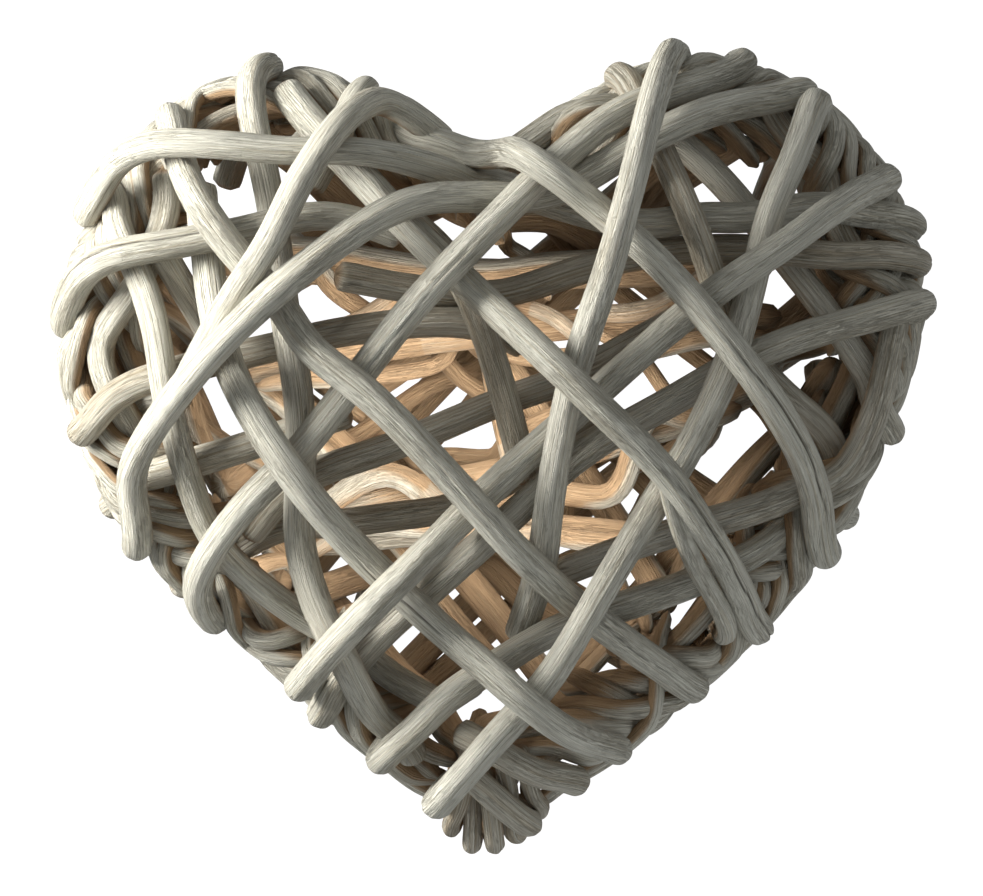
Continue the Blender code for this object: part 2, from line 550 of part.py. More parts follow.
def make_rod(name, diameter, path, material, collection):
    curve = bpy.data.curves.new(name, "CURVE")
    curve.dimensions = "3D"
    curve.bevel_depth = diameter / 2 * MM
    curve.bevel_resolution = 1
    curve.use_fill_caps = True
    spline = curve.splines.new("POLY")
    spline.points.add(len(path) - 1)
    for point, place in zip(spline.points, path):
        point.co = (*(place * MM), 1.0)
    spline.use_smooth = True
    curve.materials.append(material)
    rod = bpy.data.objects.new(name, curve)
    collection.objects.link(rod)
    return rod


def set_down(rods):
    """Move the heart so that the origin is at the middle of its underside."""
    bpy.context.view_layer.update()
    graph = bpy.context.evaluated_depsgraph_get()
    corners = []
    for rod in rods:
        mesh = rod.evaluated_get(graph).to_mesh()
        corners += [vertex.co.copy() for vertex in mesh.vertices]
    corners = np.array(corners)
    low = corners.min(0)
    high = corners.max(0)
    middle = (low + high) / 2
    for rod in rods:
        rod.location = (-middle[0], -middle[1], -low[2])
    return (high - low) / MM


def build_heart():
    for old in list(bpy.data.objects):
        bpy.data.objects.remove(old)
    collection = bpy.data.collections.new("wicker_heart")
    bpy.context.scene.collection.children.link(collection)
    material = willow_material()
    rods = lay_out_rods()
    paths, room = settle(rods)
    made = [make_rod(rod[0], rod[1], path, material, collection) for rod, path in zip(rods, paths)]
    size = set_down(made)
    segments = sum(len(path) - 1 for path in paths)
    print("size in mm", size.round(1), "segments", segments, "least gap", room.min().round(3))


build_heart()
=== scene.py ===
import json
import math

import bmesh
import bpy
import numpy as np
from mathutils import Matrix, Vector, kdtree

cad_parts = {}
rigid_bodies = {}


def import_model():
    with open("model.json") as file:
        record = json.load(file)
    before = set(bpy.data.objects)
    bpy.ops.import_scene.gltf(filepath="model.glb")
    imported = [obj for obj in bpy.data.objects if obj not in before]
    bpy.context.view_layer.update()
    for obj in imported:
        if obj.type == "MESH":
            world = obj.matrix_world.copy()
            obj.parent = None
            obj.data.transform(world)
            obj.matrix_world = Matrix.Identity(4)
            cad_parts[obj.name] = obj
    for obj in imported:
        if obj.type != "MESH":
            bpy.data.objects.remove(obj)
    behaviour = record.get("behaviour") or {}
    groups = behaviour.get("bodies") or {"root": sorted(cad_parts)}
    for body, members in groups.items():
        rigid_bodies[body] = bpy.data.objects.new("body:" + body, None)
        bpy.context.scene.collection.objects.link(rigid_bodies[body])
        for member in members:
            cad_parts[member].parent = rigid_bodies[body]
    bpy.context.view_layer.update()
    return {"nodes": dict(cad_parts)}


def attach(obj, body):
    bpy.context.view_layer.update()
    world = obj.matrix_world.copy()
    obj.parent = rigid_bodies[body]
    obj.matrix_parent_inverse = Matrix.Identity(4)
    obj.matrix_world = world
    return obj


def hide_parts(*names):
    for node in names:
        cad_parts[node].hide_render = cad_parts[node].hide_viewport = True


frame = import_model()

mm = 0.001
tiny = 1e-6                             # keeps a division away from 0

# The rods' routes are read from the plain solids
reading = {
    "weld": 0.00001,                    # m, joins the corners that belong together
    "flat": math.radians(1.0),          # faces this close in direction are one flat cap
    "capSides": 6,
    "round": 1.02,                      # by how much the corners of a cap may differ in their reach
    "spacing": 2.2,                     # mm between the points of a route while the rods press
    "smoothing": 3,
}


def findCap(rod):
    # The end of a rod is the only flat patch whose corners lie on a circle
    for face in rod.faces:
        patch = [face]
        for known in patch:
            for edge in known.edges:
                for near in edge.link_faces:
                    if near not in patch and near.normal.angle(face.normal) < reading["flat"]:
                        patch.append(near)
        corners = {corner.index: corner for flat in patch for corner in flat.verts}
        if len(corners) != reading["capSides"] or len(patch) != reading["capSides"] - 2:
            continue
        places = np.array([corner.co for corner in corners.values()])
        reach = np.linalg.norm(places - places.mean(0), axis=1)
        if reach.max() < reading["round"] * reach.min():
            return [corners[index] for index in sorted(corners)]


def readRod(name):
    # Ring centres from one end to the other, and the rod's radius, in mm
    rod = bmesh.new()
    rod.from_mesh(frame["nodes"][name].data)
    bmesh.ops.remove_doubles(rod, verts=rod.verts, dist=reading["weld"])
    rod.normal_update()
    rod.verts.index_update()
    ring = findCap(rod)
    seen = set(ring)
    centres = []
    cap = np.array([corner.co for corner in ring])
    radius = np.linalg.norm(cap - cap.mean(0), axis=1).mean() / mm
    while ring:
        centres.append(np.mean([corner.co for corner in ring], axis=0) / mm)
        following = {edge.other_vert(corner) for corner in ring for edge in corner.link_edges} - seen
        ring = sorted(following, key=lambda corner: corner.index)
        seen |= following
    rod.free()
    centres = np.array(centres)
    if centres[0][1] < centres[-1][1]:
        centres = centres[::-1]
    return centres, radius


def evenly(path, step):
    # The same path with points at equal steps
    lengths = np.linalg.norm(np.diff(path, axis=0), axis=1)
    reached = np.concatenate([[0], np.cumsum(lengths)])
    wanted = np.linspace(0, reached[-1], max(4, round(reached[-1] / step)) + 1)
    return np.stack([np.interp(wanted, reached, path[:, axis]) for axis in range(3)], axis=1)


def curved(points, pieces=12):
    # A smooth curve through all the points
    points = np.vstack([2 * points[0] - points[1], points, 2 * points[-1] - points[-2]])
    path = []
    for p0, p1, p2, p3 in zip(points, points[1:], points[2:], points[3:]):
        t1 = math.sqrt(np.linalg.norm(p1 - p0))
        t2 = t1 + math.sqrt(np.linalg.norm(p2 - p1))
        t3 = t2 + math.sqrt(np.linalg.norm(p3 - p2))
        t = np.linspace(t1, t2, pieces, endpoint=False)[:, None]
        a1 = (t1 - t) / t1 * p0 + t / t1 * p1
        a2 = (t2 - t) / (t2 - t1) * p1 + (t - t1) / (t2 - t1) * p2
        a3 = (t3 - t) / (t3 - t2) * p2 + (t - t2) / (t3 - t2) * p3
        b1 = (t2 - t) / t2 * a1 + t / t2 * a2
        b2 = (t3 - t) / (t3 - t1) * a2 + (t - t1) / (t3 - t1) * a3
        path.append((t2 - t) / (t2 - t1) * b1 + (t - t1) / (t2 - t1) * b2)
    path.append(points[-2:-1])
    return np.vstack(path)


def relaxed(path, rounds):
    path = path.copy()
    for _ in range(rounds):
        path[1:-1] += ((path[:-2] + path[2:]) / 2 - path[1:-1]) / 2
    return path


# What lies in the middle of the heart, in mm
core = {
    "corners": [(-40, 30), (40, 30), (0, -46)],     # plan triangle, away from which is out
    "height": 36.0,                                 # of the rim
    "thickness": 6.0,
}

# The heart's outline in plan, in mm from its own middle, which lies aside of the middle of the plain solids
outline = {
    "aside": (-1.6, -3.0),
    "centre": (0.0, 10.0),                          # seen from which each direction meets the outline once
    "points": [(-3, 68), (-20, 79), (-44, 88), (-68, 82), (-84, 68), (-96, 46), (-100, 26), (-96, 4),
               (-82, -23), (-52, -51), (-28, -72), (1, -91), (22, -77), (47, -58), (76, -27), (94, 8),
               (100, 36), (93, 61), (72, 83), (43, 91), (15, 79)],
    "directions": 360,
}


def readOutline():
    # How far the outline reaches in each direction, and by how much more an inset there shortens it
    loop = np.array(outline["points"] * 3, float)
    path = curved(np.column_stack([loop, np.zeros(len(loop))]))[:, :2] - outline["centre"]
    path = path[len(path) // 3:-(len(path) // 3)]
    turn = np.linspace(0, 2 * math.pi, outline["directions"], endpoint=False)
    towards, far = np.arctan2(path[:, 1], path[:, 0]), np.hypot(path[:, 0], path[:, 1])
    reach = np.interp(turn, towards, far, period=2 * math.pi)
    slope = (np.roll(reach, -1) - np.roll(reach, 1)) / (2 * turn[1]) / reach
    return reach, np.sqrt(1 + slope ** 2)


def outlineAt(turn, inset):
    # Distance from the outline's centre to the outline less an inset, towards each of the directions
    share = np.asarray(turn) / (2 * math.pi) % 1 * outline["directions"]
    low = share.astype(int) % outline["directions"]
    after = (low + 1) % outline["directions"]
    far = outlineReach[low] * (1 - share % 1) + outlineReach[after] * (share % 1)
    return far - inset * outlineStretch[low]


outlineReach, outlineStretch = readOutline()
outlineMiddle = np.add(outline["aside"], outline["centre"])


def outwardAt(places):
    # Direction away from a flat triangle in the middle of the heart
    inner = np.zeros(places.shape)
    best = np.full(len(places), np.inf)
    plan = places[:, :2]
    corners = np.array(core["corners"], float)
    inside = np.ones(len(places), bool)
    for start, end in zip(corners, np.roll(corners, -1, axis=0)):
        way = end - start
        share = np.clip(((plan - start) @ way) / (way @ way), 0, 1)
        near = start + share[:, None] * way
        far = np.linalg.norm(plan - near, axis=1)
        closer = far < best
        inner[closer, :2] = near[closer]
        best = np.minimum(best, far)
        turned = way[0] * (plan[:, 1] - start[1]) - way[1] * (plan[:, 0] - start[0])
        inside &= turned < 0
    inner[inside, :2] = plan[inside]
    low, high = core["height"] - core["thickness"], core["height"] + core["thickness"]
    inner[:, 2] = np.clip(places[:, 2], low, high)
    out = places - inner
    return out / np.maximum(np.linalg.norm(out, axis=1), tiny)[:, None]


# Each kind of rod: points round it and mm along it, its width beside the plain solid's, to what share
# it thins at its ends and over how many mm, how firmly it stays where it is when the rods press, and
# how many mm inside the outline it is kept
front = {"around": 48, "step": 1.1, "swell": 1.02, "thin": 1.0, "thinOver": 1.0,
         "stiff": 0.85, "inset": -1.0}
merging = {"around": 40, "step": 1.1, "swell": 1.02, "thin": 0.3, "thinOver": 24.0,
           "stiff": 0.7, "inset": -1.0}
plain = {"around": 26, "step": 1.8, "swell": 1.04, "thin": 0.5, "thinOver": 10.0,
         "stiff": 0.7, "inset": 2.0}
slender = {"around": 20, "step": 1.6, "swell": 1.04, "thin": 0.45, "thinOver": 12.0,
           "stiff": 0.0, "inset": 2.0}
tipStrand = {"around": 32, "step": 1.2, "swell": 1.0, "thin": 1.0, "thinOver": 1.0,
             "stiff": 0.7, "inset": -8.0}


def kindOf(name):
    if name.startswith(("back_twins", "back_strands", "rim_shoots")):
        return slender
    if name.startswith("back") or name.startswith("rim"):
        return plain
    if name.startswith("tip_strand"):
        return tipStrand
    return merging if name.endswith("strand") else front


def thinning(path, detail):
    # Share of its thickness that a rod has at each point of its path
    along = np.concatenate([[0], np.cumsum(np.linalg.norm(np.diff(path, axis=0), axis=1))])
    near = np.clip(np.minimum(along, along[-1] - along) / detail["thinOver"], 0, 1)
    return detail["thin"] + (1 - detail["thin"]) * np.sqrt(near * (2 - near))


# How the front rods turn over the rim
turning = {
    "level": 4.0,                       # mm over the rim's level below which an end has gone over the rim
    "end": 120.0,                       # mm of the rod in which its turn is sought
    "straight": 4.0,                    # mm inside the outline from which the end runs straight
    "before": 5,                        # points over which its direction there is taken
    "farthest": 14.0,                   # mm it may run on to reach the outline
    "tries": 0.25,                      # mm between the places tried for that
    # Rods that run on along the rim, and keep their own end where the new one lies farther from it than
    # apart, in mm
    "alongRim": ("falling_rod_4", "level_rod_1", "level_rod_2", "rising_rod_1", "rising_rod_3",
                 "upright_rod_1", "upright_rod_2", "left_rod_4", "right_rod_2", "right_rod_4"),
    "apart": 5.0,
    "under": 16.0,                      # mm inside the outline from which it runs on as before, underneath
    "fewest": 4,                        # points that a rod has underneath, or it gets a stub there
    "keptEvery": 2,                     # the curve goes through every second point on the front
    "underEvery": 4,                    # and through every fourth underneath
    # Side view from there: mm past the outline, and mm up
    "profile": [(-2.2, -1.5), (0, -5.5), (-1.5, -10), (-6, -14)],
    "stub": [(-13, -17), (-20, -18.5)],
}


def turnOver(name, path, radius):
    # Ends a front rod at the outline, in its own line, and tucks it under itself round the rim
    if path[0, 2] > core["height"] + turning["level"]:
        return path
    alone = path[-1, 2] > core["height"] + turning["level"]
    end = path[:min(int(turning["end"] / reading["spacing"]), len(path) if alone else len(path) // 2)]
    plan = end[:, :2] - outlineMiddle
    beyond = np.linalg.norm(plan, axis=1) - outlineAt(np.arctan2(plan[:, 1], plan[:, 0]), radius)
    farthest = beyond.argmax()
    within = np.flatnonzero(beyond[farthest:] < -turning["straight"])
    if not len(within):
        return path
    kept = path[farthest + within[0]:]
    way = kept[0, :2] - kept[turning["before"], :2]
    way /= np.linalg.norm(way)
    steps = np.arange(0, turning["farthest"], turning["tries"])
    plan = kept[0, :2] + steps[:, None] * way - outlineMiddle
    inside = np.linalg.norm(plan, axis=1) < outlineAt(np.arctan2(plan[:, 1], plan[:, 0]), radius)
    apart = np.linalg.norm(kept[0, :2] + steps[inside].max() * way - path[farthest, :2])
    if name in turning["alongRim"] and apart > turning["apart"]:
        return path
    under = path[:np.flatnonzero(beyond[:farthest + 1] < -turning["under"]).size]
    tucked = len(under) >= turning["fewest"]
    profile = np.array(turning["profile"] + ([] if tucked else turning["stub"]), float)
    along = steps[inside].max() + profile[:, 0]
    tail = np.column_stack([kept[0, :2] + along[:, None] * way, kept[0, 2] + profile[:, 1]])
    under = under[::turning["underEvery"]] if tucked else under[:0]
    bend = np.vstack([under, tail[::-1], kept[::turning["keptEvery"]]])
    return evenly(curved(bend), reading["spacing"])


# How some of the routes differ from those of the plain solids
changes = {
    "backTrim": 4,                      # points by which a back rod ends earlier, behind the rim
    "longer": "falling_rod_4",          # starts earlier, under the rod that crosses it
    "longerBy": 5,                      # points
    "longerDrop": 0.6,                  # mm down at each
    "tipShift": (0.8, -3.6, 0.0),       # mm by which the strands of the tip reach farther out
}


def readRods():
    rods = []
    for name in sorted(frame["nodes"]):
        centres, radius = readRod(name)
        path = relaxed(evenly(curved(centres), reading["spacing"]), reading["smoothing"])
        if name == changes["longer"]:
            more = np.arange(changes["longerBy"], 0, -1)[:, None]
            path = np.vstack([path[0] + (path[0] - path[1] - (0, 0, changes["longerDrop"])) * more, path])
        if kindOf(name) is front:
            path = turnOver(name, turnOver(name, path, radius)[::-1], radius)[::-1]
        if name.startswith("back"):
            path = path[changes["backTrim"]:-changes["backTrim"]]
        if kindOf(name) is tipStrand:
            path = path + changes["tipShift"]
        rods.append({"name": name, "path": path, "radius": radius})
    length = sum(len(rod["path"]) for rod in rods) * reading["spacing"]
    print("read", len(rods), "rods, in all", round(length), "mm")
    return rods


# The strand that splits off a rod: how far inside that rod it starts, and over how many mm it leaves it
merged = {"strand": "falling_rod_3_strand", "parent": "falling_rod_3", "inside": 0.8, "over": 30.0}


def leaveRod(rods):
    strand = next(rod for rod in rods if rod["name"] == merged["strand"])
    parent = next(rod for rod in rods if rod["name"] == merged["parent"])
    gap = np.linalg.norm(strand["path"][:, None] - parent["path"][None], axis=2)
    share = np.clip(np.arange(len(gap)) * reading["spacing"] / merged["over"], 0, 1)[:, None]
    inner = merged["inside"] * (1 - share) ** 2
    strand["path"] = strand["path"] * (1 - inner) + parent["path"][gap.argmin(1)] * inner


# Strands that run beside the back rods and fill the back
twins = {
    "beside": 1.04,                     # distance from its rod, in rod thicknesses
    "sway": 0.06,                       # share by which that distance changes
    "swing": 9.0,                       # radians of that sway along a strand, and where it may start
    "phase": (0, 6),
    "leastAcross": 0.3,                 # keeps a strand close where its rod runs straight out
    "smoothing": 8,
    "thickness": (0.6, 0.8),            # of the rod it runs beside, for even and for odd rods
    "trim": 7.0,                        # mm shorter than its rod at each end, at most
    "level": 4.0,                       # mm over the rim's level at which it ends
}


def twinPath(path, radius, side, rng):
    # A strand that runs beside a rod, on the side given by 1 or -1
    ways = np.gradient(path, axis=0)
    ways /= np.linalg.norm(ways, axis=1)[:, None]
    across = np.cross(ways, outwardAt(path))
    across /= np.maximum(np.linalg.norm(across, axis=1), twins["leastAcross"])[:, None]
    swing = np.linspace(0, twins["swing"], len(path)) + rng.uniform(*twins["phase"])
    gap = twins["beside"] * (1 + twins["sway"] * np.sin(swing))
    strand = path + side * 2 * radius * gap[:, None] * across
    strand = relaxed(strand, twins["smoothing"])
    low = np.flatnonzero(strand[:, 2] < core["height"] + twins["level"])
    strand = strand[low.min():low.max() + 1]
    first = int(rng.uniform(0, twins["trim"]) / reading["spacing"])
    last = int(rng.uniform(0, twins["trim"]) / reading["spacing"])
    return strand[first:len(strand) - last]


def twinPaths(rods, rng):
    made = []
    for rod in rods:
        if rod["name"].startswith("back_rod"):
            layer, number = rod["name"].split("_")[2:]
            side = 1 if int(layer) % 2 else -1
            thickness = twins["thickness"][int(number) % 2]
            path = twinPath(rod["path"], rod["radius"], side, rng)
            made.append({"name": f"back_twins_{layer}", "path": path, "radius": rod["radius"] * thickness})
    return made


# Short strands that lie over the back rods, inside the heart
laid = {
    # Plan places of the two ends of each, in mm from the outline's middle
    "ends": [((-46, 24), (-12, 42)), ((-42, 44), (-18, 26)), ((-14, -2), (22, 10)), ((0, 18), (8, -14)),
             ((30, 26), (44, 4)), ((40, -6), (62, 14)), ((2, 52), (12, 36)), ((-66, 6), (-44, -6)),
             ((28, 32), (54, 44)), ((-36, 12), (-14, -6)), ((6, 32), (24, 20))],
    "radius": (1.5, 2.2),               # mm
    "points": 24,
    "near": 6.0,                        # mm within which it rests on a back rod
    "sag": 2.0,                         # mm by which it sinks between the rods that it lies on
    "bend": 4.0,                        # mm to one side in its middle, at most
    "past": 0.15,                       # share of its length by which it runs past each end
    "smoothing": 12,
}


def laidPaths(rods, rng):
    back = np.vstack([rod["path"] for rod in rods if rod["name"].startswith("back")])
    back = back[back[:, 2] < core["height"]]
    made = []
    for start, end in np.array(laid["ends"], float):
        share = np.linspace(-laid["past"], 1 + laid["past"], laid["points"])[:, None]
        across = np.array([start[1] - end[1], end[0] - start[0]]) / np.linalg.norm(end - start)
        bow = rng.uniform(-1, 1) * laid["bend"] * np.sin(math.pi * share)
        plan = outline["aside"] + start + (end - start) * share + bow * across
        far = np.linalg.norm(plan[:, None] - back[None, :, :2], axis=2)
        high = np.where(far < laid["near"], back[:, 2], 0).max(1)
        held = high > 0
        level = np.interp(np.arange(len(high)), np.flatnonzero(held), high[held])
        path = relaxed(np.column_stack([plan, level + laid["sag"]]), laid["smoothing"])
        made.append({"name": "back_strands", "path": evenly(path, reading["spacing"]),
                     "radius": rng.uniform(*laid["radius"])})
    return made


# Thin shoots that run slantwise over the rim between the long rods
shoots = {
    "count": 96,
    "radius": (1.6, 2.5),               # mm
    "jitter": 0.3,                      # share of their spacing by which they stray
    "shorter": (4, 5),                  # points by which its two ends are cut back, at most
    "groups": 4,                        # pieces that the shoots are joined in
    "smoothing": 4,
    "slant": (0.8, 1.6),                # sideways slip for each mm over the rim
    "sameWay": 6,                       # shoots side by side that lean the same way
    "tip": 1.5 * math.pi,               # direction of the heart's tip, and how near to it no shoots are
    "clear": math.radians(16),
    # How a shoot's side view runs: mm in from the rim, and mm up from its middle level
    "profile": [(-20, 2), (-14, 8), (-7.5, 9.5), (-2, 6), (0, 0), (-1.5, -7), (-6, -13), (-14, -18)],
}


def shootPaths(rng):
    made = []
    stray = rng.uniform(-shoots["jitter"], shoots["jitter"], shoots["count"])
    places = (np.arange(shoots["count"]) + stray) / shoots["count"]
    profile = np.array(shoots["profile"], float)
    slid = np.concatenate([[0], np.cumsum(np.linalg.norm(np.diff(profile, axis=0), axis=1))])
    slid -= slid[-1] / 2
    side = 1
    for k, place in enumerate(places):
        if k % shoots["sameWay"] == 0:
            side = -side
        radius = rng.uniform(*shoots["radius"])
        turn = place * 2 * math.pi
        if abs(turn - shoots["tip"]) < shoots["clear"]:
            continue
        turn = turn + side * rng.uniform(*shoots["slant"]) * slid / outlineAt(turn, 0)
        far = outlineAt(turn, slender["inset"] + radius) + profile[:, 0]
        path = np.column_stack([outlineMiddle[0] + far * np.cos(turn),
                                outlineMiddle[1] + far * np.sin(turn), core["height"] + profile[:, 1]])
        path = relaxed(evenly(curved(path), reading["spacing"]), shoots["smoothing"])
        first, last = (int(rng.uniform(0, most)) for most in shoots["shorter"])
        group = int(place * shoots["groups"]) % shoots["groups"] + 1
        made.append({"name": f"rim_shoots_{group}", "path": path[first:len(path) - last], "radius": radius})
    return made


# Where one sees right through the back: place from the outline's middle, and radius, in mm
openings = [
    (8, 48, 4), (47, 58, 4), (55, 62, 4), (75, 47, 4), (61, 36, 4), (66, 32, 4), (34, 36, 4),
    (29, 29, 4), (-15, 22, 4), (-6, 22, 4), (-5, 12, 4), (-3, 2, 4), (-3, -6, 3), (-23, -12, 4),
    (22, -18, 4), (29, -12, 4), (38, 2, 4), (24, -5, 4), (56, 6, 4), (46, -6, 4), (69, 17, 4),
    (79, 19, 4), (-20, -44, 4), (-4, -32, 4), (35, -31, 4),
]


# How the rods press on each other
pressing = {
    "rounds": 90,
    "contact": 0.965,                   # share of the touching distance that is kept, the rest is crushed
    "reach": 3.0,                       # mm beyond touching, at the start, within which points are watched
    "give": 0.5,                        # share of an overlap that a round takes away
    "floor": 0.3,                       # mm that they stay off the floor
    "clear": 0.5,                       # how firmly the strands of the back are kept out of the openings
    "inward": 0.5,                      # how firmly the rods are kept inside the outline
    "spread": 2,                        # points along a rod that share a push
    "smoothing": 4,
}


def openingPushes(rods):
    # Which points of the strands of the back must leave each opening, which way, and up to what distance
    first = 0
    points, ways, starts, wanted = [], [], [], []
    for rod in rods:
        path, radius, free = rod["path"], rod["radius"], kindOf(rod["name"]) is slender
        for x, y, wide in openings:
            aside = path[:, :2] - outline["aside"] - (x, y)
            far = np.linalg.norm(aside, axis=1)
            far[path[:, 2] > core["height"]] = np.inf
            nearest = far.argmin()
            if far[nearest] > wide + radius or not free:
                continue
            way = aside[nearest] / far[nearest]
            along = np.arange(len(path)) - nearest
            needed = np.sqrt(np.maximum((wide + radius) ** 2 - (along * reading["spacing"]) ** 2, 0))
            near = np.flatnonzero(needed)
            points.append(near + first)
            ways.append(np.tile(way, (len(near), 1)))
            starts.append(np.tile(np.add(outline["aside"], (x, y)), (len(near), 1)))
            wanted.append(needed[near])
        first += len(path)
    return np.concatenate(points), np.vstack(ways), np.vstack(starts), np.concatenate(wanted)


def press(rods):
    # Pushes apart rods that cut into each other, smoothly along each rod
    owner = np.concatenate([np.full(len(rod["path"]), k) for k, rod in enumerate(rods)])
    places = np.vstack([rod["path"] for rod in rods])
    names = [rod["name"] for rod in rods]
    kinds = [kindOf(name) for name in names]
    radius = np.concatenate([rod["radius"] * thinning(rod["path"], kind) for rod, kind in zip(rods, kinds)])
    loose = np.array([1 - kind["stiff"] for kind in kinds])[owner]
    inset = np.array([kind["inset"] for kind in kinds])[owner]
    cleared, clearWay, clearFrom, clearBy = openingPushes(rods)
    split = (names.index(merged["parent"]), names.index(merged["strand"]))
    tree = kdtree.KDTree(len(places))
    for k, place in enumerate(places):
        tree.insert(place, k)
    tree.balance()
    widest = radius.max()
    first, second = [], []
    for k, place in enumerate(places):
        for _, other, _ in tree.find_range(place, radius[k] + widest + pressing["reach"]):
            if other > k and owner[other] != owner[k] and (owner[k], owner[other]) != split:
                first.append(k)
                second.append(other)
    first, second = np.array(first), np.array(second)
    wanted = (radius[first] + radius[second]) * pressing["contact"]
    share = loose[first] / np.maximum(loose[first] + loose[second], tiny)
    joined = owner[1:] == owner[:-1]
    for _ in range(pressing["rounds"]):
        between = places[first] - places[second]
        distance = np.linalg.norm(between, axis=1)
        lack = np.maximum(wanted - distance, 0) * pressing["give"]
        push = between * (lack / np.maximum(distance, tiny))[:, None]
        moves = np.zeros_like(places)
        weight = np.zeros(len(places))
        np.add.at(moves, first, push * share[:, None])
        np.add.at(moves, second, -push * (1 - share)[:, None])
        active = lack > 0
        np.add.at(weight, first[active], 1)
        np.add.at(weight, second[active], 1)
        moves /= np.maximum(weight, 1)[:, None]
        lacking = np.maximum(clearBy - ((places[cleared, :2] - clearFrom) * clearWay).sum(1), 0)
        np.add.at(moves, (cleared, slice(0, 2)), pressing["clear"] * clearWay * lacking[:, None])
        plan = places[:, :2] - outlineMiddle
        far = np.linalg.norm(plan, axis=1)
        beyond = np.maximum(far - outlineAt(np.arctan2(plan[:, 1], plan[:, 0]), inset + radius), 0)
        moves[:, :2] -= pressing["inward"] * plan * (beyond / np.maximum(far, tiny))[:, None]
        for _ in range(pressing["spread"]):
            spread = moves.copy()
            spread[1:][joined] += moves[:-1][joined]
            spread[:-1][joined] += moves[1:][joined]
            moves = np.where(np.abs(moves) > np.abs(spread / 2), moves, spread / 2)
        places = places + moves
        places[:, 2] = np.maximum(places[:, 2], radius + pressing["floor"])
    ends = np.cumsum([len(rod["path"]) for rod in rods])[:-1]
    paths = [relaxed(path, pressing["smoothing"]) for path in np.split(places, ends)]
    return paths, (wanted - distance).max()


# The relief of a rod, in mm
bark = {
    # Height of each wave of the surface, its length along the rod and how often it comes round the rod
    "waves": [(0.12, 32.0, 1), (0.12, 13.0, 3), (0.15, 48.0, 6), (0.08, 22.0, 17)],
    "fibres": (0.07, 10.0),             # their height and length, as fine as the mesh can hold
    "endRound": 0.55,                   # length of the rounded end, in radii
    "endWidth": 0.35,                   # share of its thickness that the end keeps
    "endLeast": 0.02,                   # share of the rounding that the last ring stays short of
    "leastAcross": 0.2,                 # a rod that starts straight out takes its sides from otherwise
    "otherwise": (0.3, 0.9, 0.2),
    "grainShift": 400.0,                # of the grain from rod to rod, at most
    "splitEvery": 140.0,                # of rod for each split in the wood
    "splitLength": (14, 45),
    "splitDepth": (0.15, 0.35),
    "splitWidth": (0.22, 0.4),
    "splitAside": 1.3,                  # radians from the outward side, at most
    "splitsEnd": 14.0,                  # from a rod's end, within which it doesn't split
    "splitFollows": 0.45,               # how far a split keeps to the outward side where the rod twists
    "splitWander": [(0.10, 7.0), (0.05, 2.7)],      # radians, and mm for each radian of the wave
    "groovePaintedShadeDepth": 0.6,                   # depth at which the painted shade in a split's groove is as dark as it gets
}

# Deep splits on named rods: the shares of the rod between which it runs, its turn from the outward side,
# its depth and its width
deepSplits = {
    "falling_rod_3": [(0.50, 0.86, 0.1, 0.8, 0.5), (0.36, 0.56, 0.5, 0.35, 0.4)],
    "falling_rod_4": [(0.46, 0.78, 0.1, 0.75, 0.5), (0.34, 0.55, 0.5, 0.35, 0.4)],
    "falling_rod_1": [(0.44, 0.62, 0.0, 0.6, 0.45), (0.24, 0.42, 0.3, 0.35, 0.35)],
    "falling_rod_2": [(0.40, 0.58, 0.2, 0.4, 0.35), (0.52, 0.72, -0.3, 0.35, 0.35),
                      (0.60, 0.8, 0.15, 0.45, 0.4)],
    "level_rod_2": [(0.22, 0.80, 0.05, 0.7, 0.45)],
    "rising_rod_3": [(0.38, 0.58, -0.2, 0.35, 0.35)],
    "level_rod_8": [(0.62, 0.86, 0.4, 0.6, 0.45)],
}


def unrolledNoise(rng, along, around, cellLength, cellsAround):
    # Smooth random heights from -1 to 1 on a rod's unrolled surface, closed round the rod
    rows = int(along[-1] / cellLength) + 3
    table = rng.uniform(-1, 1, (rows, cellsAround))
    v = along / cellLength + rng.uniform(0, 1)
    u = around / (2 * math.pi) * cellsAround
    row = np.floor(v).astype(int)
    column = np.floor(u).astype(int)
    fv = (v - row)[:, None]
    fu = (u - column)[None, :]
    fv = fv * fv * (3 - 2 * fv)
    fu = fu * fu * (3 - 2 * fu)
    left, right = column % cellsAround, (column + 1) % cellsAround
    low = table[row][:, left] * (1 - fu) + table[row][:, right] * fu
    high = table[row + 1][:, left] * (1 - fu) + table[row + 1][:, right] * fu
    return low * (1 - fv) + high * fv


def movingFrame(path):
    # Two directions square to the rod that turn with it and never twist
    ways = np.gradient(path, axis=0)
    ways /= np.linalg.norm(ways, axis=1)[:, None]
    across = np.cross(ways[0], outwardAt(path[:1])[0])
    if np.linalg.norm(across) < bark["leastAcross"]:
        across = np.cross(ways[0], bark["otherwise"])
    first = np.cross(across, ways[0])
    sides = [first / np.linalg.norm(first)]
    for way in ways[1:]:
        side = sides[-1] - way * sides[-1].dot(way)
        sides.append(side / np.linalg.norm(side))
    sides = np.array(sides)
    return sides, np.cross(ways, sides)


def splitsOf(name, length, rng):
    low, high = bark["splitLength"]
    found = []
    for _ in range(int(length / bark["splitEvery"])):
        size = rng.uniform(low, high)
        first = bark["splitsEnd"]
        start = rng.uniform(first, max(length - size - first, first + 1))
        found.append((start, start + size, rng.uniform(-bark["splitAside"], bark["splitAside"]),
                      rng.uniform(*bark["splitDepth"]), rng.uniform(*bark["splitWidth"])))
    for start, end, turn, depth, width in deepSplits.get(name, []):
        found.append((start * length, end * length, turn, depth, width))
    return found


